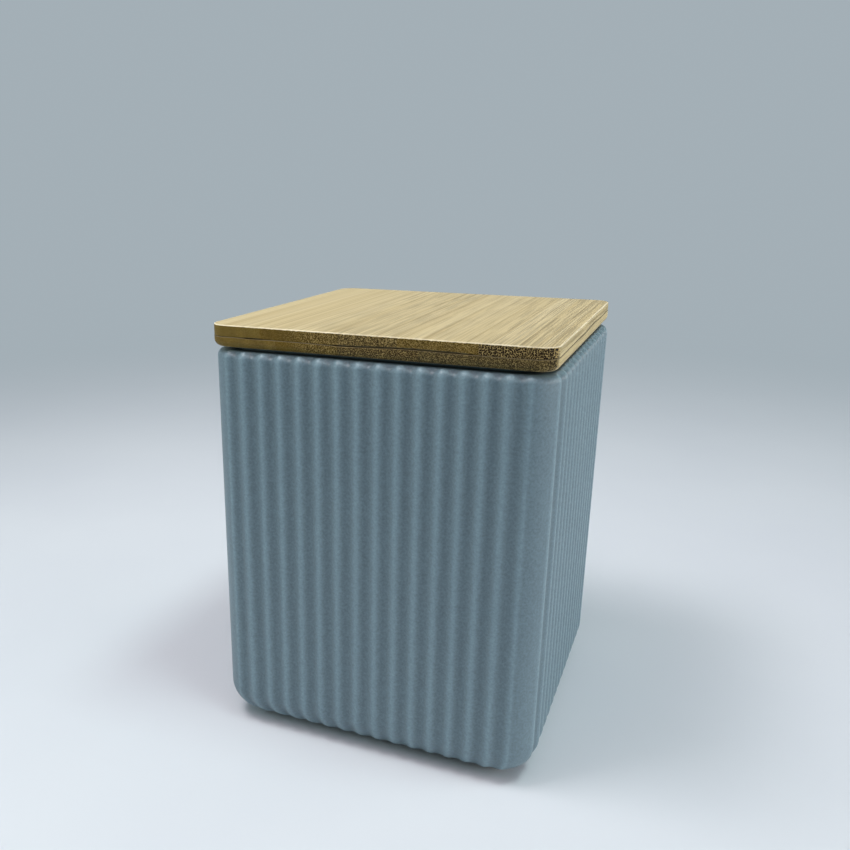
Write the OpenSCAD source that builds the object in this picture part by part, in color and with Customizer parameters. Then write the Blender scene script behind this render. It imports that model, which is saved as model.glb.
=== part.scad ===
// Square fluted stoneware jar with a laminated bamboo lid.
// The origin is the middle of the foot on the table, +Z is up and the front face looks along -Y.

/* [Jar body] */
// Width and depth of the body across the crests of its flutes
body_side = 100; // [92:1:112]
// Height of the rim above the table
body_height = 121.2; // [80:0.2:180]
// Plan radius of the four smooth corners
corner_radius = 11; // [10:0.5:14]
// Radius that rounds the bottom edge under
base_round = 11; // [6:0.5:12]
// Plan radius to which the corners tighten at the end of the bottom rounding
base_corner = 5; // [4:0.5:8]
// Radius that rounds the top edge over to the shoulder
shoulder_round = 2.25; // [1.5:0.25:2.75]
// Height of the lid's seat above the shoulder
seat_height = 0.9; // [0.5:0.1:1.5]
// Width of the lid's seat round the mouth
seat_width = 1.9; // [1.4:0.1:2.2]
// Wall thickness behind the crests
wall = 5.5; // [5.25:0.25:8]
// Thickness of the floor above its flat underside
floor_thickness = 6; // [4:0.5:9]
// Radius where the inside wall meets the floor
inner_round = 5; // [3:0.5:5]
// Width of the eased inner edge of the mouth
mouth_ease = 0.8; // [0.4:0.1:1]

/* [Flutes] */
// Number of flutes on each face, with one in the middle
flute_count = 15; // [9:2:19]
// Depth of a flute below the crests
flute_depth = 1; // [0.4:0.1:1.4]
// How far the fluting runs on round each corner
flute_wrap = 4.5; // [1:0.25:5]

/* [Foot] */
// Height of the foot ring under the body
foot_height = 0.8; // [0.6:0.1:2]
// How far the foot ring stands in from the end of the bottom rounding
foot_inset = 0.5; // [0.5:0.25:3]
// Width of the foot ring
foot_width = 4; // [3:0.5:6]

/* [Lid board] */
// How far the bamboo board stands in from the crests on every side
lid_set_in = 1.1; // [-2:0.1:1.5]
// Plan radius of the board's corners
lid_corner = 5; // [4:0.5:8]
// Thickness of the upper ply
top_ply = 3.2; // [2.6:0.1:6]
// Thickness of the lower ply
bottom_ply = 3.2; // [2.6:0.1:6]
// Radius that rounds the board's lower edge
lid_under_round = 2; // [1:0.1:2.4]
// Radius that eases the board's upper edge
lid_top_ease = 0.4; // [0.3:0.1:1]

/* [Plug and seal] */
// Depth of the plug below the lid board
plug_depth = 10; // [9:0.5:14]
// Space between the plug's flanges and the mouth
plug_clearance = 1.6; // [1:0.1:2.5]
// Height of each of the plug's two flanges
flange_height = 2.4; // [1.8:0.1:2.6]
// Depth of the groove that holds the seal
groove_depth = 2.4; // [1.8:0.1:3]
// Space left between the seal's fins and the mouth
seal_clearance = 0.3; // [0.3:0.1:0.6]
// Thickness of the seal's band
seal_band = 1.4; // [1:0.1:1.7]
// Thickness of a fin at its root
fin_root = 1.2; // [0.9:0.1:1.3]

/* [Hidden] */
// Facets on a full circle
$fn = 96;
// Chords that follow one flute across its width
flute_steps = 6;
// Chords round the bottom edge, over the shoulder and across a smooth corner
base_steps = 6;
shoulder_steps = 3;
corner_steps = 5;
// Angles on the bottom edge, and on the shoulder, between which the flutes run out
base_runout = [5, 75];
shoulder_runout = [60, 90];
// Overrun of every cut past the face that it opens
overrun = 1;
// Running gap between the seal's band and the groove's floor
band_gap = 0.1;
// Widths of the strips across each ply, as shares of the board, from left to right
top_strip_shares = [0.17, 0.24, 0.17, 0.22, 0.20];
bottom_strip_shares = [0.22, 0.19, 0.23, 0.17, 0.19];
// Heights of the two fins, as shares of the seal's band
fin_height_shares = [0.27, 0.73];
// Thickness of a fin at its tip, as a share of its root
fin_tip_share = 0.4;

body_half = body_side / 2;
straight_half = body_half - corner_radius;
flute_reach = straight_half + flute_wrap;
flute_pitch = 2 * flute_reach / flute_count;
cavity_half = body_half - wall;
cavity_corner = corner_radius - wall / 2;
cavity_floor = foot_height + floor_thickness;
shoulder_height = body_height - seat_height;
shoulder_corner = corner_radius - shoulder_round;
seat_half = cavity_half + seat_width;
seat_corner = cavity_corner + seat_width;
foot_half = body_half - base_round - foot_inset;
foot_corner = foot_width + base_corner / 2;
lid_half = body_half - lid_set_in;
lid_side = 2 * lid_half;
lid_middle = body_height + bottom_ply;
lid_top = lid_middle + top_ply;
plug_half = cavity_half - plug_clearance;
plug_corner = cavity_corner - plug_clearance;
neck_half = plug_half - groove_depth;
neck_corner = max(plug_corner - groove_depth, fin_root);
seal_low = body_height - plug_depth + flange_height;
seal_high = body_height - flange_height;
band_in = neck_half + band_gap;
band_out = band_in + seal_band;
fin_out = cavity_half - seal_clearance;

// How much of a flute's depth is left at an angle round the shoulder or the bottom edge
function runout(angle, span) =
    cos(90 * min(max(angle - span[0], 0) / (span[1] - span[0]), 1));

// Depth of the fluting at a distance along the outline from the middle of a face
function flute(along) =
    abs(along) >= flute_reach ? 0 : flute_depth * (1 + cos(360 * along / flute_pitch)) / 2;

// A point of the front face and its half corners on a rounded square, drawn in by a cut
function face_point(along, half, corner, cut) =
    let (
        past = max(abs(along) - straight_half, 0),
        turn = past / corner_radius * 180 / PI,
        side = sign(along),
        straight = half - corner,
        reach = corner - cut
    )
    [
        past == 0 ? along / straight_half * straight : side * (straight + reach * sin(turn)),
        -straight - reach * cos(turn)
    ];

function turned(p, angle) = [p.x * cos(angle) - p.y * sin(angle), p.x * sin(angle) + p.y * cos(angle)];

// Distances along the outline at which one face and the corner after it have points
corner_along = straight_half + corner_radius * PI / 4;
alongs = [
    for (i = [0:flute_count * flute_steps]) -flute_reach + i * flute_pitch / flute_steps,
    for (i = [1:corner_steps - 1])
        flute_reach + i * 2 * (corner_along - flute_reach) / corner_steps
];

// A rounding is [radius, height of its centre, up or down, plan corner radius at its end, run-out of the flutes]
base = [base_round, foot_height + base_round, -1, base_corner, base_runout];
shoulder = [shoulder_round, shoulder_height - shoulder_round, 1, shoulder_corner, shoulder_runout];

// One level of the body is [angle on the rounding, rounding]
levels = [
    for (i = [0:base_steps]) [90 - 90 * i / base_steps, base],
    for (i = [0:shoulder_steps]) [90 * i / shoulder_steps, shoulder]
];

function level_point(level, along) =
    let (
        angle = level[0],
        radius = level[1][0],
        gone_in = 1 - cos(angle),
        wraps_on = along > corner_along,
        here = wraps_on ? along - 2 * corner_along : along,
        cut = flute(here) * runout(angle, level[1][4]),
        corner = corner_radius + (level[1][3] - corner_radius) * gone_in,
        plan = face_point(here, body_half - radius * gone_in, corner, cut * cos(angle)),
        p = wraps_on ? turned(plan, 90) : plan
    )
    [p.x, p.y, level[1][1] + level[1][2] * (radius - cut) * sin(angle)];

// The outer form: the wave of flutes carried round the bottom edge, up the walls and over the shoulder
module fluted_form() {
    quarter = len(alongs);
    ring = 4 * quarter;
    rings = len(levels);
    points = [
        for (level = levels, face = [0:3], along = alongs)
            let (p = level_point(level, along), q = turned([p.x, p.y], 90 * face))
            [q.x, q.y, p.z]
    ];
    sides = [
        for (k = [0:rings - 2], i = [0:ring - 1])
            let (a = k * ring + i, b = k * ring + (i + 1) % ring)
            each [[a, a + ring, b + ring], [a, b + ring, b]]
    ];
    underside = [for (i = [0:ring - 1]) i];
    rim = [for (i = [ring - 1:-1:0]) (rings - 1) * ring + i];
    polyhedron(points = points, faces = concat([underside], sides, [rim]), convexity = 6);
}

// A profile of [distance out from the corner's centre, height] points carried round a rounded square
module square_ring(half, corner, profile) {
    for (turn = [0:90:270])
        rotate([0, 0, turn]) {
            translate([half - corner, half - corner, 0])
                rotate_extrude(angle = 90) polygon(profile);
            translate([half - corner, half - corner, 0])
                rotate([90, 0, 0])
                    linear_extrude(2 * (half - corner)) polygon(profile);
        }
}

// A solid rounded square whose edge has the given profile, from its corner centres out
module square_block(half, corner, profile) {
    low = min([for (p = profile) p.y]);
    high = max([for (p = profile) p.y]);
    inner = half - corner;
    square_ring(half, corner, profile);
    translate([-inner, -inner, low]) cube([2 * inner, 2 * inner, high - low]);
}

// Points of a quarter round about a centre, from one angle to another
function arc(centre, radius, from, to, steps) =
    [for (i = [0:steps]) let (a = from + (to - from) * i / steps) centre + radius * [cos(a), sin(a)]];

module cavity() {
    top = body_height + overrun;
    square_block(cavity_half, cavity_corner, concat(
        [[0, cavity_floor]],
        arc([cavity_corner - inner_round, cavity_floor + inner_round], inner_round, -90, 0, 6),
        [
            [cavity_corner, body_height - mouth_ease],
            [cavity_corner + mouth_ease, body_height],
            [cavity_corner + mouth_ease, top],
            [0, top]
        ]
    ));
}

module foot_ring() {
    high = foot_height + floor_thickness / 2;
    square_ring(foot_half, foot_corner, [
        [foot_corner - foot_width, 0],
        [foot_corner, 0],
        [foot_corner, high],
        [foot_corner - foot_width, high]
    ]);
}

// The raised seat round the mouth, on which the lid rests clear of the shoulder
module lid_seat() {
    low = shoulder_height - shoulder_round;
    square_block(seat_half, seat_corner, [
        [0, low],
        [seat_corner, low],
        [seat_corner, body_height],
        [0, body_height]
    ]);
}

module jar_body() {
    color([0.44, 0.52, 0.55]) {
        difference() {
            union() {
                fluted_form();
                lid_seat();
            }
            cavity();
        }
        foot_ring();
    }
}

// The whole bamboo board, with its lower edge rounded under and its upper edge eased
module lid_board() {
    square_block(lid_half, lid_corner, concat(
        [[0, body_height]],
        arc([lid_corner - lid_under_round, body_height + lid_under_round], lid_under_round, -90, 0, 6),
        arc([lid_corner - lid_top_ease, lid_top - lid_top_ease], lid_top_ease, 0, 90, 3),
        [[0, lid_top]]
    ));
}

function share_before(shares, i) = i == 0 ? 0 : shares[i - 1] + share_before(shares, i - 1);

// One glued strip of a ply: the part of the board between two glue lines and two heights
module strip(shares, i, low, high) {
    left = -lid_half + lid_side * share_before(shares, i);
    intersection() {
        lid_board();
        translate([left, -lid_half - overrun, low])
            cube([lid_side * shares[i], lid_side + 2 * overrun, high - low]);
    }
}

module lid_bottom_strip(i) {
    color([0.72, 0.58, 0.36]) strip(bottom_strip_shares, i, body_height, lid_middle);
}

module lid_top_strip(i) {
    color([0.83, 0.74, 0.53]) strip(top_strip_shares, i, lid_middle, lid_top);
}

// The plug under the board, with a groove round it between two flanges
module lid_plug() {
    low = body_height - plug_depth;
    color([0.78, 0.67, 0.45]) {
        for (z = [low, seal_high])
            square_block(plug_half, plug_corner, [
                [0, z],
                [plug_corner, z],
                [plug_corner, z + flange_height],
                [0, z + flange_height]
            ]);
        square_block(neck_half, neck_corner, [
            [0, seal_low],
            [neck_corner, seal_low],
            [neck_corner, seal_high],
            [0, seal_high]
        ]);
    }
}

// The silicone seal: a band in the groove with two thin fins that reach to the mouth
module seal_ring() {
    corner = neck_corner + fin_out - neck_half;
    inner = corner - (fin_out - band_in);
    outer = corner - (fin_out - band_out);
    height = seal_high - seal_low;
    fin_points = [
        for (share = fin_height_shares)
            let (middle = seal_low + share * height, root = fin_root / 2, tip = root * fin_tip_share)
            each [[outer, middle - root], [corner, middle - tip], [corner, middle + tip], [outer, middle + root]]
    ];
    color([0.93, 0.93, 0.9])
        square_ring(fin_out, corner, concat(
            [[inner, seal_low], [outer, seal_low]],
            fin_points,
            [[outer, seal_high - band_gap], [inner, seal_high - band_gap]]
        ));
}

jar_body();
lid_plug();
seal_ring();
for (i = [1:len(bottom_strip_shares)])
    lid_bottom_strip(i - 1);
for (i = [1:len(top_strip_shares)])
    lid_top_strip(i - 1);
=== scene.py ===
# %% [markdown]
# # A square fluted jar with a bamboo lid
# The jar is one piece of matte stoneware with soft flutes on all four sides.
# Its lid is a thin board of two bamboo plies, with a plug and a silicone seal under it.
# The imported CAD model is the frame: it fixes every size and says which piece moves.
# The script dresses that frame, so each cell makes one piece or one finish at the CAD's own size.

# %% Load the frame
import math

import bmesh
import bpy
from mathutils import Matrix, Vector, noise


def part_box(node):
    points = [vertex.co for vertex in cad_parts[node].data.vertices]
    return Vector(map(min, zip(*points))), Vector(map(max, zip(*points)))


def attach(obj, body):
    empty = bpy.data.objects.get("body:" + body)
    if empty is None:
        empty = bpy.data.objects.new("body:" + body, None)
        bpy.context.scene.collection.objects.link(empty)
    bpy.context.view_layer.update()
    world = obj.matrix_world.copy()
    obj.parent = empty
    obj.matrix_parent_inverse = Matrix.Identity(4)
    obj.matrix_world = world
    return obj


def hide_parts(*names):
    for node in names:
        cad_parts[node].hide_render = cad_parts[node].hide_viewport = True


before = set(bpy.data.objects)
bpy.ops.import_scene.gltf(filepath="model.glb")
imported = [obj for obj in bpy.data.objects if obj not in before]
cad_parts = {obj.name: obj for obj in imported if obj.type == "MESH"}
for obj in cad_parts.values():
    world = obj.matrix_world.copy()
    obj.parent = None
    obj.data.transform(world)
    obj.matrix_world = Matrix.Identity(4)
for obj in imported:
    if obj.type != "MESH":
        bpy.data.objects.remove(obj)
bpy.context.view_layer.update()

# %% [markdown]
# ## The camera first
# A likeness is judged through one lens, so the camera comes before any detail.
# Its place was worked out from the straight edges of the lid and the foot.
# It could be keyed in as a location and three angles, but an orbit is easier to read and to correct:
# a point to aim at, a distance, how far round and how far up.
# The picture is cut from a wider one, so the lens looks past its middle: the two shifts put that right.

# %% Camera
MM = 0.001
AIM = Vector((-30.27, 7.50, 72.48)) * MM
DISTANCE = 300 * MM
AZIMUTH, ELEVATION = math.radians(23.267), math.radians(17.869)
FILM_WIDTH, LENS = 36.0, 36.26
SHIFT_X, SHIFT_Y = 0.0917, 0.0432
NEAREST = 10 * MM

camera = bpy.data.objects.new("camera", bpy.data.cameras.new("camera"))
bpy.context.scene.collection.objects.link(camera)
bpy.context.scene.camera = camera
camera.data.sensor_width, camera.data.lens = FILM_WIDTH, LENS
camera.data.shift_x, camera.data.shift_y = SHIFT_X, SHIFT_Y
camera.data.clip_start = NEAREST

level_share = math.cos(ELEVATION)
back = Vector((math.sin(AZIMUTH) * level_share, -math.cos(AZIMUTH) * level_share, math.sin(ELEVATION)))
right = Vector((math.cos(AZIMUTH), math.sin(AZIMUTH), 0))
camera.location = AIM + DISTANCE * back
camera.rotation_mode = "QUATERNION"
camera.rotation_quaternion = Matrix((right, back.cross(right), back)).transposed().to_quaternion()
print("camera at", [round(v / MM, 1) for v in camera.location], "mm")

# %% [markdown]
# ## Sizes that the pieces share
# The boxes of the CAD nodes give the outer sizes.
# The rest are the radii and steps that a box can't tell, written once here in millimetres.

# %% Shared sizes
body_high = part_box("jar_body")[1]
BODY = body_high.x
RIM = body_high.z
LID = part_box("lid_top_strip_5")[1].x
LID_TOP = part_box("lid_top_strip_1")[1].z
PLY_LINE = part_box("lid_top_strip_1")[0].z

CORNER = 11 * MM
BASE_ROUND = 11 * MM
BASE_CORNER = 5 * MM
SHOULDER = 2.25 * MM
SEAT_HIGH = 0.9 * MM
SEAT_WIDE = 1.9 * MM
FOOT_HIGH = 0.8 * MM
FOOT_HALF = 38.5 * MM
FOOT_CORNER = 6.5 * MM
FOOT_WIDE = 4 * MM
CAVITY = 44.5 * MM
CAVITY_CORNER = 8.25 * MM
CAVITY_FLOOR = 6.8 * MM
CAVITY_ROUND = 5 * MM
MOUTH_EASE = 0.8 * MM
FLUTES = 15
FLUTE_DEPTH = 1 * MM
FLUTE_WRAP = 4.5 * MM
for what, size in (("body side", 2 * BODY), ("rim", RIM), ("lid side", 2 * LID), ("height", LID_TOP)):
    print(what, round(size / MM, 1), "mm")


# %% [markdown]
# ## A skin of rings
# Jar, plug, seal and board are all rounded squares that grow and shrink as they rise.
# One could block them out from a cube and bevel it, but flutes need points exactly where the wave bends.
# So each is drawn the way a potter throws: start one ring of points, then pull the ring up level by level.
# The ring starts as a circle, `extrude_edge_only` pulls it on, and each level says where its points belong.
# A station is one point's place on the ring: how far along its side, how far round the corner after it,
# and which of the four sides it belongs to.

# %% Stations of a ring
def ring_stations(side_shares, corner_angles):
    """One ring: points along each side, as shares of its straight, then points round the next corner."""
    places = [(share, 0.0) for share in side_shares] + [(1.0, angle) for angle in corner_angles]
    return [(share, angle, turn) for turn in range(4) for share, angle in places]


def on_square(half, corner, share, angle, turn, inset=0.0):
    """The point of a rounded square of this half width and corner radius, drawn in by an inset."""
    straight = half - corner
    reach = corner - inset
    x = share * straight + math.copysign(reach * math.sin(angle), share)
    y = -straight - reach * math.cos(angle)
    c, s = ((1, 0), (0, 1), (-1, 0), (0, -1))[turn]
    return Vector((x * c - y * s, x * s + y * c, 0))


print("a ring of 3 points a side and 1 a corner has", len(ring_stations([-1, 0, 1], [1])), "points")

# %% Pulling rings into a skin
def next_ring(bm, ring):
    """Pulls a ring of vertices on by one level, and gives the new ring in the same order."""
    count = len(ring)
    edges = [bm.edges.get((ring[i], ring[(i + 1) % count])) for i in range(count)]
    made = bmesh.ops.extrude_edge_only(bm, edges=edges)["geom"]
    fresh = {v for v in made if isinstance(v, bmesh.types.BMVert)}
    return [next(e.other_vert(v) for e in v.link_edges if e.other_vert(v) in fresh) for v in ring]


def pull_skin(levels, stations, layer="edge"):
    """A bmesh whose rings stand at the given levels, each level a function from station to point."""
    bm = bmesh.new()
    bm.verts.layers.float.new(layer)
    ring = bmesh.ops.create_circle(bm, segments=len(stations), radius=1)["verts"]
    rings = []
    for number, level in enumerate(levels):
        if number:
            ring = next_ring(bm, ring)
        for vertex, station in zip(ring, stations):
            vertex.co = level(station)
        rings.append(ring)
    return bm, rings


def ring_edges(bm, ring):
    """The edges between the neighbours of a ring."""
    return [bm.edges.get((ring[i], ring[i - 1])) for i in range(len(ring))]


def close_ends(bm, rings):
    """Fills the first and the last ring of a skin."""
    bmesh.ops.holes_fill(bm, edges=ring_edges(bm, rings[0]) + ring_edges(bm, rings[-1]), sides=0)


# %% Plain levels
def plain(half, corner, z):
    """A level with no flutes: a rounded square at one height."""
    return lambda station: on_square(half, corner, *station) + Vector((0, 0, z))


def quarter(half, corner, z, radius, start, end, steps, inward=True):
    """Levels round a quarter circle of the section, from one angle to another; 0 points out and 90 up."""
    made = []
    for i in range(steps + 1):
        a = math.radians(start + (end - start) * i / steps)
        out = radius * math.cos(a) * (1 if inward else -1)
        made.append(plain(half + out, corner + out, z + radius * math.sin(a)))
    return made


outermost = plain(BODY, CORNER, 0)((1.0, math.pi / 4, 0))
print("the body's corner reaches", round(outermost.length / MM, 1), "mm from the middle")

# %% From bmesh to piece
SHARP = math.radians(50)


def object_from(bm, name, materials):
    """Turns a finished bmesh into an object of the scene."""
    mesh = bpy.data.meshes.new(name)
    bm.to_mesh(mesh)
    bm.free()
    for material in materials:
        mesh.materials.append(material)
    piece = bpy.data.objects.new(name, mesh)
    bpy.context.scene.collection.objects.link(piece)
    print(name, len(mesh.polygons), "faces")
    return piece


def piece_from(bm, name, materials, body, slot, *nodes):
    """Makes a smooth piece that rides on its CAD body and stands for its CAD nodes."""
    bmesh.ops.recalc_face_normals(bm, faces=bm.faces)
    for face in bm.faces:
        face.smooth = True
    for edge in bm.edges:
        edge.smooth = edge.calc_face_angle(0) < SHARP
    piece = object_from(bm, name, materials)
    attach(piece, body)
    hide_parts(*nodes)


print("edges stay sharp past", round(math.degrees(SHARP)), "degrees")

# %% [markdown]
# ## Node helpers
# Every finish is a small tree of nodes.
# They could be wired by hand in the editor, but a tree written down can be read, repeated and corrected.
# These helpers keep the cells short: each adds a node and feeds its sockets a plain value or another node.

# %% Node helpers
def new_finish(name):
    """A new material, its node tree, its Principled shader and its Object coordinates in metres."""
    material = bpy.data.materials.new(name)
    material.use_nodes = True
    tree = material.node_tree
    shader = tree.nodes["Principled BSDF"]
    where = tree.nodes.new("ShaderNodeTexCoord").outputs["Object"]
    return material, tree, shader, where


def feed(tree, node, **sockets):
    """Links or sets a node's inputs, which go by name or by number after an underscore."""
    for key, value in sockets.items():
        socket = node.inputs[int(key[1:])] if key[1:].isdigit() else node.inputs[key.replace("_", " ")]
        if isinstance(value, bpy.types.NodeSocket):
            tree.links.new(value, socket)
        else:
            socket.default_value = value


def add(tree, kind, settings=None, **sockets):
    """Adds a node, sets its menu choices and feeds its inputs."""
    node = tree.nodes.new("ShaderNode" + kind)
    for key, value in (settings or {}).items():
        setattr(node, key, value)
    feed(tree, node, **sockets)
    return node.outputs


# %% Pattern helpers
def stretched(tree, where, scale, shift=(0, 0, 0)):
    """Object coordinates scaled per axis, so a pattern can run long along the grain."""
    return add(tree, "Mapping", Vector=where, Scale=scale, Location=shift)["Vector"]


def cloud(tree, where, scale, detail, roughness=0.5):
    """Blender's noise texture, as a grey pattern."""
    return add(tree, "TexNoise", Vector=where, Scale=scale, Detail=detail, Roughness=roughness)["Fac"]


def ramp(tree, value, low, high, to_low=0.0, to_high=1.0, curve="LINEAR"):
    """Stretches what lies between low and high to run from to_low to to_high."""
    spans = {"From_Min": low, "From_Max": high, "To_Min": to_low, "To_Max": to_high}
    return add(tree, "MapRange", {"interpolation_type": curve}, Value=value, **spans)["Result"]


def spread(tree, pattern, to_low=0.0, to_high=1.0):
    """A cloud's values mostly lie between 0.3 and 0.7. This spreads them from to_low to to_high."""
    return ramp(tree, pattern, 0.3, 0.7, to_low, to_high)


def maths(tree, operation, first, second=0.0):
    """One step of arithmetic with two values."""
    return add(tree, "Math", {"operation": operation}, _0=first, _1=second)["Value"]


def bumps(tree, height, strength, depth):
    """The normal of a surface that stands this much higher, in metres, where the pattern is white."""
    return add(tree, "Bump", Height=height, Strength=strength, Distance=depth)["Normal"]


# %% Colour helpers
def mixed(tree, factor, first, second, blend="MIX"):
    """Two colours mixed by a factor; each is a colour or the output of another node."""
    return add(tree, "Mix", {"data_type": "RGBA", "blend_type": blend}, _0=factor, _6=first, _7=second)[2]


def shaded(tree, colour, pattern, depth):
    """A colour that a pattern darkens and lightens by up to this share."""
    grey = spread(tree, pattern, 1 - depth, 1 + depth)
    return mixed(tree, 1.0, colour, add(tree, "CombineColor", _0=grey, _1=grey, _2=grey)[0], "MULTIPLY")


def srgb(red, green, blue):
    """A colour as a picture gives it, 0 to 255, made linear for the shader."""
    def channel(value):
        value /= 255
        return value / 12.92 if value <= 0.04045 else ((value + 0.055) / 1.055) ** 2.4

    return (channel(red), channel(green), channel(blue), 1.0)


def times(colour, share):
    """A plain colour made darker or lighter."""
    return tuple(channel * share for channel in colour[:3]) + (1.0,)


def ready(material):
    """Says how many nodes a finish has, and hands it on."""
    print(material.name, len(material.node_tree.nodes), "nodes")
    return material


print("a picture's grey 128 is", round(srgb(128, 128, 128)[0], 3), "to the shader")

# %% [markdown]
# ## The matte glaze
# The stoneware has a dry blue-grey glaze with a grain like very fine sand.
# It could be a flat colour with a rough shine, but then the walls look like plastic.
# Here a wide noise drifts the colour between two tones, two fine ones blotch it and speckle it like sand,
# and the same sand lifts the surface.
# The glaze thins on a crest, and on top of that a crest gets a painted highlight and a groove painted
# shade.
# Where the shoulder meets the seat, in the gap under the lid, the glaze gets painted shade, dull and nearly
# black, which deepens the dark line under the lid.

# %% Glaze finish
DRIFT, BLOTCH, SAND = 28.0, 520.0, 1500.0
# Shares of the tone: painted shade in a groove, a painted highlight on a crest, nearly black painted shade
# under the lid.
PAINTED_GROOVE_SHADE, PAINTED_CREST_HIGHLIGHT, UNDER_LID_SHADE = 0.84, 1.25, 0.12
# The glaze's gloss, and a lower gloss under the lid that keeps the painted shade there dark.
GLOSS, UNDER_LID_GLOSS = 0.5, 0.1
SAND_HEIGHT = 0.12 * MM


def glaze_colour(tree, where, depth, under_lid_shade, tone, light_tone, crest_highlight):
    """The drift between two tones, with painted shade in a groove, a painted highlight on a crest and
    nearly black painted shade under the lid.
    """
    drift = ramp(tree, cloud(tree, where, DRIFT, 3.0), 0.35, 0.65)
    colour = mixed(tree, drift, tone, light_tone)
    colour = mixed(tree, ramp(tree, depth, 0.0, 0.8), colour, times(tone, PAINTED_GROOVE_SHADE))
    crest = maths(tree, "POWER", maths(tree, "SUBTRACT", 1.0, depth), 5.0)
    colour = mixed(tree, maths(tree, "MULTIPLY", crest, crest_highlight), colour, times(light_tone, PAINTED_CREST_HIGHLIGHT))
    return mixed(tree, under_lid_shade, colour, times(tone, UNDER_LID_SHADE))


def glaze(name, tone, light_tone, rough, sand, crest_highlight=0.0):
    """A glaze between two tones. rough is its roughness, sand its relief, and the last argument sets the
    painted highlight on its crests.
    The groove attribute runs from 0 on a crest to 1 in a groove, and on to 2 in the painted shade under the
    lid."""
    material, tree, shader, where = new_finish(name)
    speckle = cloud(tree, where, SAND, 2.0, 0.6)
    coarse = cloud(tree, where, BLOTCH, 3.0, 0.6)
    depth = add(tree, "Attribute", {"attribute_name": "groove"})["Fac"]
    under_lid_shade = ramp(tree, depth, 1.0, 2.0)
    colour = glaze_colour(tree, where, depth, under_lid_shade, tone, light_tone, crest_highlight)
    colour = shaded(tree, colour, speckle, 0.14)
    colour = shaded(tree, colour, coarse, 0.05)
    height = maths(tree, "ADD", speckle, maths(tree, "MULTIPLY", coarse, 0.8))
    feed(
        tree, shader, Base_Color=colour, Normal=bumps(tree, height, sand, SAND_HEIGHT),
        Roughness=spread(tree, coarse, rough - 0.05, rough + 0.05),
        Specular_IOR_Level=ramp(tree, under_lid_shade, 0.0, 1.0, GLOSS, UNDER_LID_GLOSS),
    )
    return ready(material)


# %% Two glazes and bare clay
BLUE_GREY, PALE_BLUE_GREY = srgb(108, 131, 142), srgb(113, 136, 146)
INNER_GREY, PALE_INNER_GREY = srgb(118, 140, 148), srgb(126, 147, 154)
CLAY, PALE_CLAY = srgb(84, 78, 70), srgb(96, 90, 82)
matte_glaze = glaze("matte_glaze", BLUE_GREY, PALE_BLUE_GREY, rough=0.42, sand=0.4, crest_highlight=0.8)
inner_glaze = glaze("inner_glaze", INNER_GREY, PALE_INNER_GREY, rough=0.28, sand=0.1)
bare_stoneware = glaze("bare_stoneware", CLAY, PALE_CLAY, rough=0.8, sand=0.6)

# %% [markdown]
# ## The fluted body
# The feature that makes this jar is its wave of flutes: fifteen grooves on each side, even and soft.
# They don't stop at an edge. They roll over the shoulder and under the bottom edge, and fade there.
# One could carve them with a displacement, but its points would fall anywhere on the wave and blunt it.
# So the ring itself carries the wave: it has twelve points to each flute,
# and each level of the roundings lets the wave fade a little more.

# %% Stations of the fluted ring
FLUTE_STEPS, SMOOTH_STEPS = 12, 8
straight = BODY - CORNER
flute_reach = straight + FLUTE_WRAP
pitch = 2 * flute_reach / FLUTES
half_corner = straight + CORNER * math.pi / 4
smooth_part = 2 * (half_corner - flute_reach)

alongs = [-flute_reach + pitch * i / FLUTE_STEPS for i in range(FLUTES * FLUTE_STEPS + 1)]
alongs += [flute_reach + smooth_part * i / SMOOTH_STEPS for i in range(1, SMOOTH_STEPS)]


def station_at(along, turn):
    """The station at this distance from the middle of a side. Past the corner it is the next side's."""
    if along > half_corner:
        along, turn = along - 2 * half_corner, (turn + 1) % 4
    past = max(abs(along) - straight, 0.0)
    share = math.copysign(1.0, along) if past else along / straight
    return share, past / CORNER, turn


def groove(along):
    """How deep the wave of flutes is here: 1 in a groove, 0 on a crest."""
    if along > half_corner:
        along -= 2 * half_corner
    return 0.0 if abs(along) >= flute_reach else (1 + math.cos(2 * math.pi * along / pitch)) / 2


fluted_ring = [station_at(along, turn) for turn in range(4) for along in alongs]
grooves = [groove(along) for turn in range(4) for along in alongs]
groove_of = dict(zip(fluted_ring, grooves))
print("flutes", round(pitch / MM, 2), "mm apart,", len(fluted_ring), "points in a ring")

# %% [markdown]
# ## The body's section
# The section is a list of levels, from under the foot, up the outside, over the rim and down inside.
# It could be a curve turned by a modifier, but that makes round pots, and this one is square.
# A raised seat round the mouth carries the lid, which leaves the dark line between lid and shoulder;
# painted shade on the glaze there deepens it.
# The skin goes on down the inside wall and across the floor, so wall and floor have their thickness.

# %% A fluted level
def clamp(value, low, high):
    """The value, held between low and high."""
    return min(max(value, low), high)


def fluted(degrees, radius, centre_z, side, end_corner, fade_from, fade_to):
    """A level on a rounding, its flutes cut square to the surface and fading between two angles."""
    angle = math.radians(degrees)
    gone_in = 1 - math.cos(angle)
    corner = CORNER + (end_corner - CORNER) * gone_in
    faded = clamp((degrees - fade_from) / (fade_to - fade_from), 0, 1)
    left = math.cos(math.pi / 2 * faded)

    def level(station):
        cut = FLUTE_DEPTH * groove_of[station] * left
        point = on_square(BODY - radius * gone_in, corner, *station, inset=cut * math.cos(angle))
        return point + Vector((0, 0, centre_z + side * (radius - cut) * math.sin(angle)))

    return level


print("a flute is", round(FLUTE_DEPTH / MM, 1), "mm deep on the wall")

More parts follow.
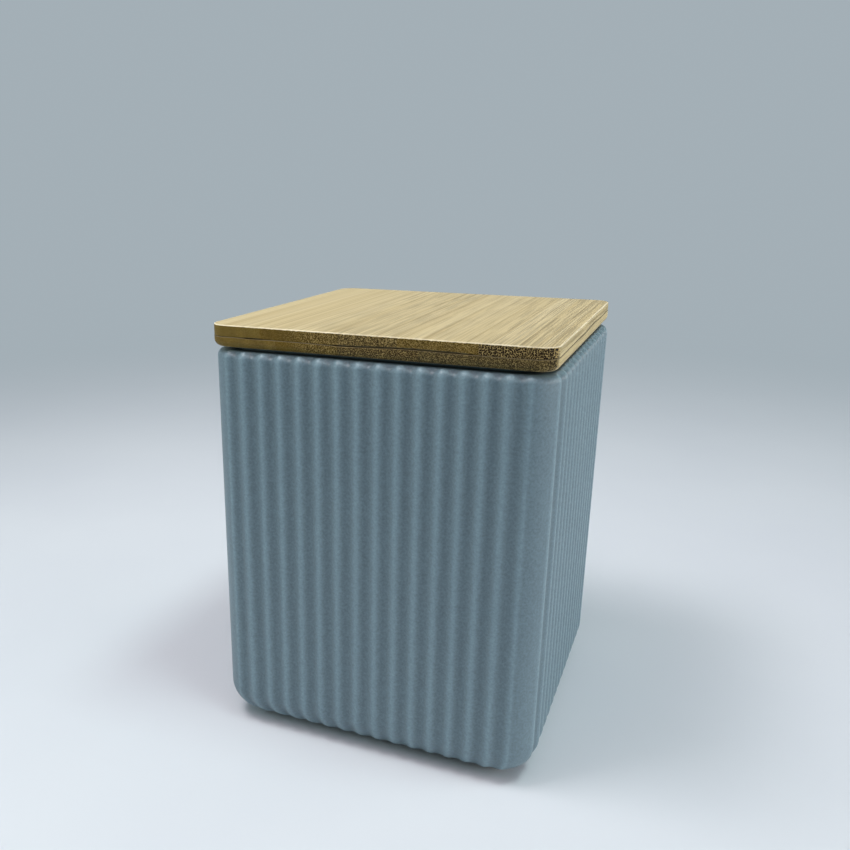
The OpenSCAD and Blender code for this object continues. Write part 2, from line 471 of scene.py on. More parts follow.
# %% Levels of the foot
CAP_IN = 2 * MM
foot_in = FOOT_HALF - FOOT_WIDE
foot_corner_in = FOOT_CORNER - FOOT_WIDE
foot_ease = 0.4 * MM
foot_levels = [
    plain(foot_in - CAP_IN, foot_corner_in, FOOT_HIGH),
    plain(foot_in - foot_ease, foot_corner_in, FOOT_HIGH),
    plain(foot_in, foot_corner_in, FOOT_HIGH - foot_ease / 2),
    plain(foot_in, foot_corner_in, foot_ease),
    plain(foot_in + foot_ease, foot_corner_in + foot_ease, 0),
    plain(FOOT_HALF - foot_ease, FOOT_CORNER - foot_ease, 0),
    *quarter(FOOT_HALF - foot_ease, FOOT_CORNER - foot_ease, foot_ease, foot_ease, -60, 0, steps=2),
    plain(FOOT_HALF, FOOT_CORNER, FOOT_HIGH - foot_ease / 3),
]
print("foot", len(foot_levels), "levels,", round(2 * FOOT_HALF / MM, 1), "mm wide")

# %% Levels of the outside
BASE_STEPS, WALL_STEPS, SHOULDER_STEPS = 15, 10, 9
BASE_FADE, SHOULDER_FADE = (5, 75), (60, 90)
wall_low, wall_high = FOOT_HIGH + BASE_ROUND, RIM - SEAT_HIGH - SHOULDER
base = (BASE_ROUND, wall_low, -1, BASE_CORNER, *BASE_FADE)
shoulder = (SHOULDER, wall_high, 1, CORNER - SHOULDER, *SHOULDER_FADE)
base_levels = [fluted(90 * (1 - i / BASE_STEPS), *base) for i in range(BASE_STEPS + 1)]
wall_levels = [
    fluted(0, SHOULDER, wall_low + (wall_high - wall_low) * i / WALL_STEPS, 1, CORNER, *SHOULDER_FADE)
    for i in range(1, WALL_STEPS)
]
shoulder_levels = [fluted(90 * i / SHOULDER_STEPS, *shoulder) for i in range(SHOULDER_STEPS + 1)]
print("outside", len(base_levels) + len(wall_levels) + len(shoulder_levels), "levels")

# %% Levels of the seat, the mouth and the inside
seat_half, seat_corner, seat_ease = CAVITY + SEAT_WIDE, CAVITY_CORNER + SEAT_WIDE, 0.2 * MM
seat_levels = [
    plain(seat_half + seat_ease, seat_corner + seat_ease, RIM - SEAT_HIGH),
    plain(seat_half, seat_corner, RIM - SEAT_HIGH + seat_ease),
    *quarter(seat_half - seat_ease, seat_corner - seat_ease, RIM - seat_ease, seat_ease, 0, 90, steps=3),
]
mouth_half, mouth_corner = CAVITY + MOUTH_EASE, CAVITY_CORNER + MOUTH_EASE
mouth_levels = quarter(mouth_half, mouth_corner, RIM - MOUTH_EASE, MOUTH_EASE, 90, 0, steps=4, inward=False)
MOUTH_DEEP, ABOVE_ROUND, FLOOR_IN = 12 * MM, 2 * MM, 3 * MM
floor_half, floor_corner = CAVITY - CAVITY_ROUND, CAVITY_CORNER - CAVITY_ROUND
inside_levels = [
    plain(CAVITY, CAVITY_CORNER, RIM - MOUTH_DEEP),
    plain(CAVITY, CAVITY_CORNER, CAVITY_FLOOR + CAVITY_ROUND + ABOVE_ROUND),
    *quarter(floor_half, floor_corner, CAVITY_FLOOR + CAVITY_ROUND, CAVITY_ROUND, 0, -90, steps=8),
    plain(floor_half - FLOOR_IN, floor_corner, CAVITY_FLOOR),
]
outside_levels = base_levels + wall_levels + shoulder_levels
body_levels = foot_levels + outside_levels + seat_levels + mouth_levels + inside_levels
print("whole body", len(body_levels), "levels")

# %% [markdown]
# ## Pulling the body and glazing it
# The skin is pulled through all its levels in one go, so no seam can open between wall, rim and floor.
# Each point also keeps a groove value for the glaze: 0 on a crest, 1 in a groove and more in the painted
# shade under the lid.
# It could be painted by hand, but here the level and the station already know it.
# The foot is wiped clean before firing so that it won't stick to the kiln shelf: it gets the bare clay.

# %% Pull the body
bm, rings = pull_skin(body_levels, fluted_ring, "groove")
close_ends(bm, rings)
print("body", len(bm.verts), "points in", len(rings), "rings")

# %% Groove values for the glaze
EVEN_GLAZE = 0.4
# How much nearly black painted shade the rings round the foot of the seat get, under the lid, counted from
# its first ring.
UNDER_LID_SHADE_RINGS = {-1: 1.3, 0: 2.0, 1: 2.0, 2: 1.6}
wave = bm.verts.layers.float["groove"]
outside_start = len(foot_levels)
seat_start = outside_start + len(outside_levels)
for ring in rings:
    for vertex in ring:
        vertex[wave] = EVEN_GLAZE
for ring in rings[outside_start:seat_start]:
    for index, (vertex, depth) in enumerate(zip(ring, grooves)):
        if index % len(alongs) <= FLUTES * FLUTE_STEPS:
            vertex[wave] = depth
for number, under_lid_shade in UNDER_LID_SHADE_RINGS.items():
    for vertex in rings[seat_start + number]:
        vertex[wave] = under_lid_shade
# This counts the rings that get the painted shade under the lid.
print("painted shade under the lid in", len(UNDER_LID_SHADE_RINGS), "rings from ring", seat_start - 1)

# %% Glaze and bare clay
BARE_LEVELS = 3
MATTE, INNER, BARE = range(3)
ring_number = {vertex: number for number, ring in enumerate(rings) for vertex in ring}
glazed_from, inside_from = len(foot_levels) + BARE_LEVELS, len(body_levels) - len(inside_levels)
for face in bm.faces:
    lowest = min(ring_number[v] for v in face.verts)
    face.material_index = BARE if lowest < glazed_from else INNER if lowest >= inside_from - 1 else MATTE
finishes = [matte_glaze, inner_glaze, bare_stoneware]
piece_from(bm, "jar_fluted_body", finishes, "jar", "stoneware", "jar_body")

# %% [markdown]
# ## Bamboo
# Bamboo isn't wood but a giant grass: straight fibres with dark bundles running through a paler pith.
# Cut along, the bundles are fine long lines; cut across, the same bundles are dots.
# Two pictures, one for the face and one for the end, would never meet at the edge.
# A solid pattern does: cells that are small across the grain and very long along it,
# so each cut shows its own side.

# %% Bamboo patterns
WANDER = 0.9 * MM
CELL_STRETCH = 0.012
NO_CROWD = (-60, -59)


def grain(tree, where, scale, detail, roughness, start):
    """A cloud drawn out along the grain. start moves it, so that each strip has a pattern of its own."""
    return cloud(tree, stretched(tree, where, scale, shift=(start, 0, 0)), 1.0, detail, roughness)


def bamboo_grain(tree, where, spacing, start):
    """The bands, streaks and cells of a strip. They wander a little along the grain, as real fibres do."""
    wander = cloud(tree, stretched(tree, where, (60, 5, 60)), 1.0, 2.0)
    across = add(tree, "CombineXYZ", X=wander, Z=wander)[0]
    reach = (WANDER, 0, WANDER)
    bent = add(tree, "VectorMath", {"operation": "MULTIPLY_ADD"}, _0=across, _1=reach, _2=where)[0]
    bands = grain(tree, bent, (260, 2, 60), 4.0, 0.65, start)
    streaks = grain(tree, bent, (850, 3, 500), 3.0, 0.6, start)
    size = 1 / (spacing * MM)
    long_cells = stretched(tree, bent, (size, size * CELL_STRETCH, size), shift=(start, 0, 0))
    cells = add(tree, "TexVoronoi", {"feature": "F1"}, Vector=long_cells, Scale=1.0, Randomness=0.75)
    return bands, streaks, cells["Distance"]


print("bundles wander", round(WANDER / MM, 1), "mm, cells are", round(1 / CELL_STRETCH), "times as long")

# %% [markdown]
# ## Bamboo's colours
# The sanded face is straw with darker bands and fine streaks.
# The cut end is brown, patchy and dotted. The eased edge between the two gets the palest colour, a painted
# highlight.
# Two materials would need a cut in the mesh where they meet, so the way the surface faces mixes them.
# The sawn edges are open and dusty, so they shine less than the sanded face.

# %% Bamboo colours
STRAW, DULL_STRAW, BRIGHT_STRAW = srgb(209, 192, 147), srgb(205, 188, 143), srgb(211, 194, 149)
# The third colour on the next line is a painted highlight for the eased upper edge.
STRAW_DARK, STREAK, EDGE_HIGHLIGHT = srgb(198, 179, 130), srgb(154, 131, 82), srgb(244, 234, 204)
BUNDLE, FLECK, GLUE = srgb(24, 15, 7), srgb(184, 160, 104), srgb(82, 68, 38)
OCHRE, OLIVE, TAN, BROWN = srgb(113, 92, 33), srgb(107, 85, 29), srgb(111, 88, 29), srgb(103, 84, 42)
DRAB, UMBER, BISCUIT = srgb(110, 90, 48), srgb(72, 60, 31), srgb(135, 114, 70)
PATCH_SHARE, LAYER_SHARE = 0.72, 1.5


def bamboo_face(tree, bands, streaks, bundles, contrast, tone):
    """The sanded face: bands, streaks and a trace of the bundles."""
    face = mixed(tree, ramp(tree, bands, 0.38, 0.66), tone, STRAW_DARK)
    face = mixed(tree, ramp(tree, streaks, 0.48, 0.7, 0.0, 0.75), face, STREAK)
    return mixed(tree, maths(tree, "MULTIPLY", bundles, contrast * 0.32), face, BUNDLE)


def bamboo_end(tree, patches, layers, bundles, between, contrast, tone):
    """The cut end: patches and thin layers, pale flecks between the bundles and the bundles themselves."""
    end = mixed(tree, ramp(tree, patches, 0.35, 0.65), tone, times(tone, PATCH_SHARE))
    end = mixed(tree, ramp(tree, layers, 0.52, 0.72, 0.0, 0.35), end, times(tone, LAYER_SHARE))
    end = mixed(tree, maths(tree, "MULTIPLY", between, contrast * 0.8), end, FLECK)
    return mixed(tree, maths(tree, "MULTIPLY", bundles, contrast), end, BUNDLE)


print("straw to the shader", [round(channel, 2) for channel in STRAW[:3]])

# %% Bamboo finish
SAWN_GLOSS, BAMBOO_ROUGH = 0.12, 0.5
BAMBOO_RELIEF = 0.1 * MM


def bamboo(name, spacing, filled, contrast, tone, end_tone, start=0.0, crowd=NO_CROWD):
    """Bamboo whose bundles stand this far apart in mm. filled is how far a bundle fills its cell.
    They are faint left of the first place in crowd and strong right of the second, near the bark."""
    material, tree, shader, where = new_finish(name)
    bands, streaks, cells = bamboo_grain(tree, where, spacing, start)
    layers = grain(tree, where, (70, 20, 2600), 2.0, 0.6, start)
    patches = grain(tree, where, (260, 4, 90), 2.0, 0.6, start)
    place = add(tree, "SeparateXYZ", Vector=where)["X"]
    crowded = ramp(tree, place, crowd[0] * MM, crowd[1] * MM, 0.2, 1.0)
    bundles = maths(tree, "MULTIPLY", ramp(tree, cells, filled, filled + 0.08, 1.0, 0.0), crowded)
    between = maths(tree, "MULTIPLY", ramp(tree, cells, filled + 0.1, 0.75), crowded)
    face = bamboo_face(tree, bands, streaks, bundles, contrast, tone)
    end = bamboo_end(tree, patches, layers, bundles, between, contrast, end_tone)

    normal = add(tree, "SeparateXYZ", Vector=add(tree, "NewGeometry")["Normal"])
    across_grain = ramp(tree, maths(tree, "ABSOLUTE", normal["Y"]), 0.25, 0.45)
    upright = ramp(tree, normal["Z"], 0.15, 0.45, 1.0, 0.0)
    # The eased upper edge gets a painted highlight, broken up by the thin layers.
    sloping = ramp(tree, normal["Z"], 0.2, 0.5)
    edge = maths(tree, "MULTIPLY", sloping, ramp(tree, normal["Z"], 0.9, 0.99, 1.0, 0.0))
    painted_edge_highlight = maths(tree, "MULTIPLY", edge, ramp(tree, layers, 0.35, 0.6, 0.3, 0.8))
    face = mixed(tree, painted_edge_highlight, face, EDGE_HIGHLIGHT)
    glue = add(tree, "Attribute", {"attribute_name": "glue"})["Fac"]
    colour = mixed(tree, maths(tree, "MULTIPLY", across_grain, upright), face, end)
    dull = maths(tree, "MAXIMUM", upright, glue)
    relief = maths(tree, "SUBTRACT", streaks, maths(tree, "MULTIPLY", bundles, 0.8 * contrast))
    feed(
        tree, shader, Base_Color=mixed(tree, glue, colour, GLUE), Roughness=BAMBOO_ROUGH,
        Specular_IOR_Level=ramp(tree, dull, 0.0, 1.0, GLOSS, SAWN_GLOSS),
        Normal=bumps(tree, relief, 0.5, BAMBOO_RELIEF),
    )
    return ready(material)


# %% [markdown]
# ## A finish for each strip
# The strips come from different culms, so some ends are nearly smooth and some are coarsely dotted.
# One finish for the whole board would look printed. Each strip gets its own spacing, tone and pattern,
# and the strip on the right of the upper ply has the large dots that catch the eye.

# %% Bamboo strips
smooth_bamboo = bamboo("smooth_bamboo", 0.24, filled=0.16, contrast=0.25, tone=STRAW, end_tone=OCHRE)
tan_bamboo = bamboo("tan_bamboo", 0.26, filled=0.2, contrast=0.3, tone=STRAW, end_tone=TAN, start=4.3)
left_upper = bamboo("left_upper_bamboo", 0.3, filled=0.38, contrast=0.75, tone=STRAW, end_tone=OLIVE,
                    start=1.9, crowd=(-26, -16))
left_lower = bamboo("left_lower_bamboo", 0.3, filled=0.4, contrast=0.75, tone=STRAW, end_tone=TAN,
                    start=5.2, crowd=(-24, -17))
pale_bamboo = bamboo("pale_bamboo", 0.3, filled=0.36, contrast=0.65, tone=STRAW, end_tone=OLIVE,
                     start=2.6)
fine_bamboo = bamboo("fine_bamboo", 0.3, filled=0.4, contrast=0.85, tone=DULL_STRAW, end_tone=BROWN,
                     start=3.1)
dark_bamboo = bamboo("dark_bamboo", 0.34, filled=0.42, contrast=0.8, tone=DULL_STRAW, end_tone=DRAB,
                     start=6.4)
right_lower = bamboo("right_lower_bamboo", 0.27, filled=0.38, contrast=0.62, tone=DULL_STRAW,
                     end_tone=UMBER, start=8.8)
coarse_bamboo = bamboo("coarse_bamboo", 0.37, filled=0.45, contrast=1.0, tone=BRIGHT_STRAW,
                       end_tone=BISCUIT, start=7.7)

# %% [markdown]
# ## The lid's two plies
# The board is glued from two plies of bamboo, each of five strips side by side.
# The plies meet along a line that wanders up and down a little,
# because the strips weren't quite flat when they were glued.
# A texture could draw that line, but it would stay flat, so the line is part of the skin.
# Each ply is pulled as one skin, and `bisect_plane` then saws it into its strips at the CAD's own joints.

# %% Ply outlines
UNDER_ROUND, TOP_EASE, LID_CORNER = 2 * MM, 0.4 * MM, 5 * MM
SIDE_STEPS, CORNER_STEPS = 200, 12


def square_ring(side_steps, corner_steps):
    """A ring of even steps. Corner points past 45 degrees belong to the next side, mirrored."""
    stations = ring_stations(
        [2 * i / side_steps - 1 for i in range(side_steps + 1)],
        [math.pi / 2 * i / corner_steps for i in range(1, corner_steps)],
    )
    return [
        (share, angle, turn) if angle <= math.pi / 4 else (-1.0, math.pi / 2 - angle, (turn + 1) % 4)
        for share, angle, turn in stations
    ]


lid_ring = square_ring(SIDE_STEPS, CORNER_STEPS)
print("board", len(lid_ring), "points in a ring")

# %% The glue line
WAVE_RISE, WAVE_HEIGHT, WAVE_RATE, WAVE_START = 0.35 * MM, 0.6 * MM, 45, 2.3
GAP_RATE, GAP_START, GAP_SHARP, GAP_RARE = 60, 4.7, 5, 0.4
GAP_TURN, GAP_SIDE_SHARE = 4 * MM, 0.25


def glue_wave(point):
    """How far the glue line lies above its mean height at this place on the edge. It rises to the right."""
    along = Vector((point.x * WAVE_RATE, point.y * WAVE_RATE, WAVE_START))
    return WAVE_RISE * point.x / LID + WAVE_HEIGHT * noise.noise(along)


def starved(point):
    """Where the glue left the joint open: 0 along most of it, up to 1 in short gaps, mostly in cut ends."""
    along = Vector((point.x * GAP_RATE, point.y * GAP_RATE, GAP_START))
    gap = clamp(noise.noise(along) * GAP_SHARP - GAP_RARE, 0.0, 1.0)
    return gap * clamp((abs(point.y) - abs(point.x)) / GAP_TURN, GAP_SIDE_SHARE, 1.0)


for x in (-LID, 0, LID):
    print("glue line at", round(x / MM), "mm:", round(glue_wave(Vector((x, -LID, 0))) / MM, 2), "mm up")

# %% Levels at the glue line and at the torn edge
GAP_OPEN = 0.17 * MM
TEAR_DEPTH, TEAR_RATE, TEAR_SHARE = 0.2 * MM, 1500, 0.1


def seam_level(half, corner, z, side=0):
    """A level near the glue line, which follows its wave. At a starved joint the two plies stand apart."""
    def level(station):
        point = on_square(half, corner, *station)
        return point + Vector((0, 0, z + glue_wave(point) + side * GAP_OPEN * starved(point)))

    return level


def torn_level(half, corner, z):
    """A level of the upper edge, where the saw tore a few fibres out of the end grain."""
    def level(station):
        point = on_square(half, corner, *station)
        tear = TEAR_DEPTH * max(0.0, noise.noise(point * TEAR_RATE) + TEAR_SHARE)
        return point + Vector((0, 0, z - tear))

    return level


print("plies stand up to", round(2 * GAP_OPEN / MM, 2), "mm apart where the joint is open")

# %% Levels of the plies
SEAM, LEDGE = 0.05 * MM, 0.05 * MM
CREVICE, CREVICE_END = 14 * SEAM, 16 * SEAM
WAVE_LOW, WAVE_HIGH = 7 * SEAM, 6 * SEAM
TORN_FROM, TORN_STEPS, TOP_FLAT = 2.2 * TOP_EASE, 6, 1.0 * MM
under_half, under_corner = LID - UNDER_ROUND, LID_CORNER - UNDER_ROUND
lower_levels = [
    plain(under_half - CAP_IN, under_corner, RIM),
    *quarter(under_half, under_corner, RIM + UNDER_ROUND, UNDER_ROUND, -90, 0, steps=8),
    seam_level(LID, LID_CORNER, PLY_LINE - WAVE_LOW),
    seam_level(LID, LID_CORNER, PLY_LINE - 2 * SEAM, -1),
    seam_level(LID - SEAM, LID_CORNER - SEAM, PLY_LINE - SEAM, -1),
    seam_level(LID - CREVICE, LID_CORNER - CREVICE, PLY_LINE, -1),
    seam_level(LID - CREVICE_END, LID_CORNER - CREVICE_END, PLY_LINE),
    plain(LID - CAP_IN, LID_CORNER - CAP_IN, PLY_LINE),
]
TOP_HALF, TOP_CORNER = LID - LEDGE, LID_CORNER - LEDGE


def eased_level(angle):
    """A level on the rounding of the upper edge, this far round it."""
    gone_in = TOP_EASE * (1 - math.cos(angle))
    return torn_level(TOP_HALF - gone_in, TOP_CORNER - gone_in, LID_TOP - TOP_EASE * (1 - math.sin(angle)))


upper_levels = [
    plain(LID - CAP_IN, LID_CORNER - CAP_IN, PLY_LINE),
    seam_level(LID - CREVICE_END, LID_CORNER - CREVICE_END, PLY_LINE),
    seam_level(LID - CREVICE, LID_CORNER - CREVICE, PLY_LINE, 1),
    seam_level(TOP_HALF - SEAM, TOP_CORNER - SEAM, PLY_LINE, 1),
    seam_level(TOP_HALF, TOP_CORNER, PLY_LINE + SEAM, 1),
    seam_level(TOP_HALF, TOP_CORNER, PLY_LINE + WAVE_HIGH),
    plain(TOP_HALF, TOP_CORNER, LID_TOP - TORN_FROM),
    *[eased_level(math.pi / 2 * i / TORN_STEPS) for i in range(TORN_STEPS)],
    plain(TOP_HALF - TOP_EASE, TOP_CORNER - TOP_EASE, LID_TOP),
    plain(TOP_HALF - TOP_EASE - TOP_FLAT, TOP_CORNER - TOP_EASE - TOP_FLAT, LID_TOP),
]
# How much the glue stains a ring, counted from a ply's first ring, or from its last with a minus.
LOWER_GLUE, UPPER_GLUE = {-5: 0.8, -4: 1.0, -3: 1.0}, {2: 1.0, 3: 1.0}
print("plies", len(lower_levels), "and", len(upper_levels), "levels")

# %% [markdown]
# ## Sawing the plies into strips
# On the real board the strips are glued up first and the board is cut afterwards: they share one outline.
# The strips could be five boxes side by side, but then each one's round corners would need their own work.
# The skin is pulled once for each strip and sawn on both sides, which keeps that shared outline exact.
# The rings near the glue line also carry a glue value, which stains them dark.

# %% Saw the plies into strips
def saw(ply, x, keep_right):
    """Cuts a ply across at x, keeps one part and closes the cut."""
    cut = bmesh.ops.bisect_plane(
        ply, geom=[*ply.verts, *ply.edges, *ply.faces], plane_co=(x, 0, 0), plane_no=(1, 0, 0),
        clear_inner=keep_right, clear_outer=not keep_right,
    )["geom_cut"]
    bmesh.ops.holes_fill(ply, edges=[e for e in cut if isinstance(e, bmesh.types.BMEdge)], sides=0)


def make_strips(levels, prefix, node_prefix, glue_rings, finishes):
    """Makes one strip for each finish, from left to right. glue_rings says which rings the glue stains."""
    for number, finish in enumerate(finishes, start=1):
        node = f"{node_prefix}_{number}"
        low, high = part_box(node)
        ply, rings = pull_skin(levels, lid_ring, "glue")
        glue = ply.verts.layers.float["glue"]
        for ring_index, share in glue_rings.items():
            for vertex in rings[ring_index]:
                vertex[glue] = share
        close_ends(ply, rings)
        if number > 1:
            saw(ply, low.x, keep_right=True)
        if number < len(finishes):
            saw(ply, high.x, keep_right=False)
        piece_from(ply, f"{prefix}_{number}", [finish], "lid", "bamboo", node)


make_strips(lower_levels, "lower_strip", "lid_bottom_strip", LOWER_GLUE,
            [tan_bamboo, left_lower, dark_bamboo, right_lower, right_lower])
make_strips(upper_levels, "upper_strip", "lid_top_strip", UPPER_GLUE,
            [smooth_bamboo, left_upper, fine_bamboo, pale_bamboo, coarse_bamboo])

# %% [markdown]
# ## The plug
# Under the board a smaller square of the same bamboo drops into the mouth and stops the lid from sliding.
# A groove round it holds the seal.
# A cube with a groove cut by a Boolean would do too, but the rings give it the mouth's corners for nothing.

# %% Plug
plug_low, plug_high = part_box("lid_plug")
PLUG, FLANGE, GROOVE = plug_high.x, 2.4 * MM, 2.4 * MM
PLUG_CORNER = CAVITY_CORNER - (CAVITY - PLUG)
NECK, NECK_CORNER = PLUG - GROOVE, PLUG_CORNER - GROOVE
PLUG_EASE, LIP_EASE, TOP_CHAMFER = 0.5 * MM, 0.25 * MM, 0.125 * MM
FLAT_IN, FLAT_CORNER_IN = 3 * MM, 1 * MM
PLUG_STEPS = 40
small_ring = square_ring(PLUG_STEPS, CORNER_STEPS)
groove_low, groove_high = plug_low.z + FLANGE, plug_high.z - FLANGE
lip, lip_corner = PLUG - LIP_EASE, PLUG_CORNER - LIP_EASE
plug_levels = [
    plain(PLUG - FLAT_IN, PLUG_CORNER - FLAT_CORNER_IN, plug_low.z),
    *quarter(PLUG - PLUG_EASE, PLUG_CORNER - PLUG_EASE, plug_low.z + PLUG_EASE, PLUG_EASE, -90, 0, steps=4),
    *quarter(lip, lip_corner, groove_low - LIP_EASE, LIP_EASE, 0, 90, steps=3),
    plain(NECK, NECK_CORNER, groove_low),
    plain(NECK, NECK_CORNER, groove_high),
    *quarter(lip, lip_corner, groove_high + LIP_EASE, LIP_EASE, -90, 0, steps=3),
    plain(PLUG, PLUG_CORNER, plug_high.z - TOP_CHAMFER),
    plain(PLUG - TOP_CHAMFER, PLUG_CORNER - TOP_CHAMFER, plug_high.z),
    plain(PLUG - FLAT_IN, PLUG_CORNER - FLAT_CORNER_IN, plug_high.z),
]
bm, rings = pull_skin(plug_levels, small_ring)
close_ends(bm, rings)
piece_from(bm, "plug", [tan_bamboo], "lid", "plug_bamboo", "lid_plug")

# %% [markdown]
# ## The seal
# A milky silicone ring sits in the groove, with two thin fins that feel for the mouth.
# Light goes a little way into silicone. White paint would look dry, so the finish scatters light inside it.
# The section is a closed loop, so its skin has no caps: `bridge_loops` joins the last ring to the first.

# %% Silicone finish
MILK, PALE_MILK = srgb(226, 226, 218), srgb(236, 236, 230)


def silicone():
    """Milky silicone with a faint haze and a skin that isn't quite smooth."""
    material, tree, shader, where = new_finish("silicone")
    haze = spread(tree, cloud(tree, where, 300.0, 3.0))
    feed(
        tree, shader, Base_Color=mixed(tree, haze, MILK, PALE_MILK), Roughness=0.42,
        Subsurface_Weight=0.25, Subsurface_Radius=(2 * MM, 2 * MM, 1.8 * MM),
        Normal=bumps(tree, cloud(tree, where, 2500.0, 2.0), 0.15, 0.05 * MM),
    )
    return ready(material)


seal_silicone = silicone()

# %% Fins of the seal
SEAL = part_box("seal_ring")[1].x
SEAL_CORNER = NECK_CORNER + SEAL - NECK
BAND_IN, BAND_OUT = NECK + 0.1 * MM, NECK + 1.5 * MM
BAND_EASE, BAND_PLAY = 0.2 * MM, 0.1 * MM
FIN_ROOT, FIN_TIP, FIN_SPREAD, FIN_BEND_SHARE = 0.6 * MM, 0.24 * MM, 0.3 * MM, 0.8


def seal_level(half, z):
    """A level of the seal, whose corners keep the same middle point at every half width."""
    return plain(half, SEAL_CORNER - (SEAL - half), z)


def fin(middle):
    """Levels out along the underside of a fin, round its tip and back along its top."""
    bend, tip = FIN_BEND_SHARE * FIN_ROOT, SEAL - FIN_TIP
    tip_angles = [math.radians(degrees) for degrees in range(-60, 61, 30)]
    return [
        seal_level(BAND_OUT, middle - FIN_ROOT),
        seal_level(BAND_OUT + FIN_SPREAD, middle - bend),
        seal_level(tip, middle - FIN_TIP),
        *[seal_level(tip + FIN_TIP * math.cos(a), middle + FIN_TIP * math.sin(a)) for a in tip_angles],
        seal_level(tip, middle + FIN_TIP),
        seal_level(BAND_OUT + FIN_SPREAD, middle + bend),
        seal_level(BAND_OUT, middle + FIN_ROOT),
    ]


seal_depth = groove_high - groove_low
print("seal", round(seal_depth / MM, 2), "mm deep,", round(2 * SEAL / MM, 1), "mm over its fins")

# %% Seal
FIN_SHARES = (0.27, 0.73)
seal_levels = [
    seal_level(BAND_IN, groove_low),
    seal_level(BAND_OUT - BAND_EASE, groove_low),
    seal_level(BAND_OUT, groove_low + BAND_EASE),
    *[level for share in FIN_SHARES for level in fin(groove_low + share * seal_depth)],
    seal_level(BAND_OUT, groove_high - BAND_PLAY - BAND_EASE),
    seal_level(BAND_OUT - BAND_EASE, groove_high - BAND_PLAY),
    seal_level(BAND_IN, groove_high - BAND_PLAY),
]
bm, rings = pull_skin(seal_levels, small_ring)
bmesh.ops.bridge_loops(bm, edges=ring_edges(bm, rings[0]) + ring_edges(bm, rings[-1]))
piece_from(bm, "seal", [seal_silicone], "lid", "silicone", "seal_ring")

# %% [markdown]
# ## The table
# The jar stands on a plain pale table that fades into the pale sky behind it, like a studio's paper sweep.
# A real sweep is a curved sheet, whose bend can show. Here the table stays flat and slowly turns
# into the sky's own colour, by giving off light instead of reflecting it, so no horizon cuts the picture.

# %% Table
SKY, BLACK = (0.37, 0.43, 0.47, 1.0), (0, 0, 0, 1)
TABLE_GREY, PALE_TABLE_GREY = srgb(214, 220, 226), srgb(218, 224, 229)
TABLE_RADIUS, FADE_FROM, FADE_TO = 4.0, 0.16, 0.75


def table():
    """A pale table without gloss, which fades into the sky between two distances."""
    material, tree, shader, where = new_finish("pale_table")
    haze = spread(tree, cloud(tree, where, 9.0, 3.0))
    pale = mixed(tree, haze, TABLE_GREY, PALE_TABLE_GREY)
    away = add(tree, "VectorMath", {"operation": "LENGTH"}, _0=where)["Value"]
    fade = ramp(tree, away, FADE_FROM, FADE_TO, curve="SMOOTHSTEP")
    feed(
        tree, shader, Base_Color=mixed(tree, fade, pale, BLACK), Roughness=0.6, Specular_IOR_Level=0.0,
        Emission_Color=SKY, Emission_Strength=fade,
    )
    bm = bmesh.new()
    bmesh.ops.create_circle(bm, cap_ends=True, segments=96, radius=TABLE_RADIUS)
    top = object_from(bm, "table", [ready(material)])


table()

# %% [markdown]
# ## The dark card
# A photographer keeps stray light off the front with a black card behind the camera.
# The sky could be made darker instead, but that would dim every side. Without the card
# the gap under the lid turns grey. The camera doesn't see it, but it still stops the light.

# %% Dark card
CARD_WIDE, CARD_HIGH, CARD_AWAY = 3.0, 1.1, 1.2
FELT, PALE_FELT = srgb(30, 32, 34), srgb(44, 46, 48)


def dark_card():
    """A card of dark felt that stands upright in front of the jar."""
    material, tree, shader, where = new_finish("dark_card")
    nap = spread(tree, cloud(tree, where, 40.0, 4.0))
    feed(tree, shader, Base_Color=mixed(tree, nap, FELT, PALE_FELT), Roughness=0.9)
    bm = bmesh.new()
    bmesh.ops.create_grid(bm, x_segments=1, y_segments=1, size=0.5)
    place = Matrix.Translation((0, -CARD_AWAY, CARD_HIGH / 2)) @ Matrix.Rotation(math.pi / 2, 4, "X")
    bmesh.ops.transform(bm, matrix=place @ Matrix.Diagonal((CARD_WIDE, CARD_HIGH, 1, 1)), verts=bm.verts)
    card = object_from(bm, "dark_card", [ready(material)])
    card.visible_camera = False


dark_card()

# %% [markdown]
# ## The lamps
# The light of the photograph is soft and comes from several sides. A picture of a sky could give it all
# at once, but lamps can be moved and weighed one by one, so five soft lamps stand round the jar.
# A near one high on the left makes the left of the front face lighter than the right,
# and throws the long shadow. One high on the right throws the short shadow,
# a large one overhead fills the rest, a wide low glow on the right lights the side face,
# and a small low one lifts the left of the front.

# %% Lamps
LAMP_AIM = Vector((0, 0, 50 * MM))


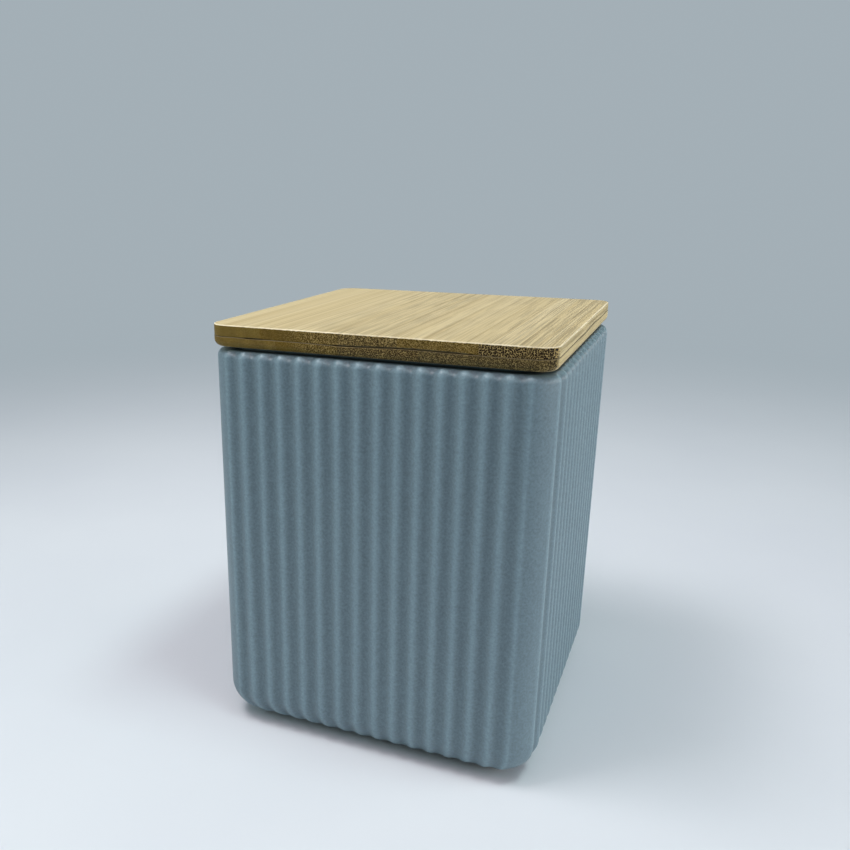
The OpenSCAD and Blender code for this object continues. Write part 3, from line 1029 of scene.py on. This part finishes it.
def lamp(name, azimuth, height, distance, width, depth, power, colour):
    """A soft lamp that looks at the jar from an azimuth and a height, both in degrees."""
    light = bpy.data.lights.new(name, "AREA")
    light.shape, light.size, light.size_y = "RECTANGLE", width, depth
    light.energy, light.color = power, colour
    holder = bpy.data.objects.new(name, light)
    holder.visible_camera = False
    bpy.context.scene.collection.objects.link(holder)
    turn, lift = math.radians(azimuth), math.radians(height)
    direction = Vector((math.cos(turn) * math.cos(lift), math.sin(turn) * math.cos(lift), math.sin(lift)))
    holder.location = LAMP_AIM + direction * distance
    holder.rotation_mode = "QUATERNION"
    holder.rotation_quaternion = direction.to_track_quat("Z", "Y")
    print(name, power, "W")


lamp("near_softbox", azimuth=215, height=66, distance=0.6, width=0.22, depth=0.18,
     power=1.45, colour=(1.0, 0.97, 0.97))
lamp("low_left_fill", azimuth=222, height=22, distance=0.5, width=0.4, depth=0.3,
     power=0.4, colour=(0.85, 1.0, 0.9))
lamp("lamp_right", azimuth=350, height=70, distance=1.2, width=0.4, depth=0.22,
     power=4.3, colour=(0.82, 1.0, 0.97))
lamp("overhead", azimuth=262, height=68, distance=2.0, width=2.2, depth=1.0,
     power=10.0, colour=(1.0, 0.7, 0.77))
lamp("window_glow", azimuth=8, height=13, distance=2.0, width=2.6, depth=1.0,
     power=24.0, colour=(1.0, 0.93, 0.89))

# %% [markdown]
# ## The sky
# The sky is the faint light that comes from everywhere. It is one colour, weaker high up,
# where the lamps already light the jar. A ramp of the direction's height is enough for that.
# The Standard view transform shows the colours as they are, so a tone can be set by its number.

# %% Sky
DIM_FROM, DIM_TO, HIGH_SKY = 0.2, 0.7, 0.55
sky = bpy.data.worlds.new("sky")
bpy.context.scene.world = sky
sky.use_nodes = True
tree = sky.node_tree
height = add(tree, "SeparateXYZ", Vector=add(tree, "TexCoord")["Generated"])["Z"]
strength = ramp(tree, height, DIM_FROM, DIM_TO, 1.0, HIGH_SKY)
feed(tree, tree.nodes["Background"], Color=SKY, Strength=strength)
bpy.context.scene.view_settings.view_transform = "Standard"
print("sky strength 1 low down,", HIGH_SKY, "high up")
